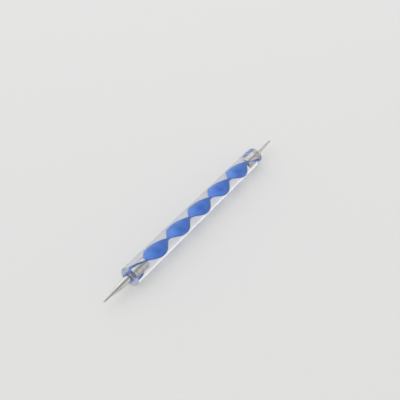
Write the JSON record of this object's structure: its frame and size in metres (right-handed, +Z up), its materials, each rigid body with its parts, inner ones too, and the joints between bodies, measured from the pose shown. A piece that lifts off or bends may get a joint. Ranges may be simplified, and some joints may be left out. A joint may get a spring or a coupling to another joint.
{
  "type": "embossing stylus",
  "caption": "Double-ended ball stylus for embossing and dotting: a clear round handle with a twisted blue ribbon inside and a tapered steel tip in each end.",
  "frame": {"origin": "on the surface that the handle lies on, below the middle of the tool", "axes": "+X along the tool towards the bold ball, +Z up, the tool's centre line at half the handle's diameter above the surface"},
  "size_m": [0.1246, 0.008, 0.008],
  "materials": {
    "clear_acrylic": "polished clear acrylic",
    "blue_ribbon": "pearly blue strip cast into the rod",
    "turned_steel": "fine turning marks",
    "ball_steel": "polished bearing ball",
    "clear_glue": "cured clear adhesive"
  },
  "bodies": {
    "root": {"handle_rod": "clear_acrylic", "colour_ribbon": "blue_ribbon", "fine_pin": "turned_steel", "fine_ball": "ball_steel", "fine_glue": "clear_glue", "bold_pin": "turned_steel", "bold_ball": "ball_steel", "bold_glue": "clear_glue"}
  },
  "joints": []
}
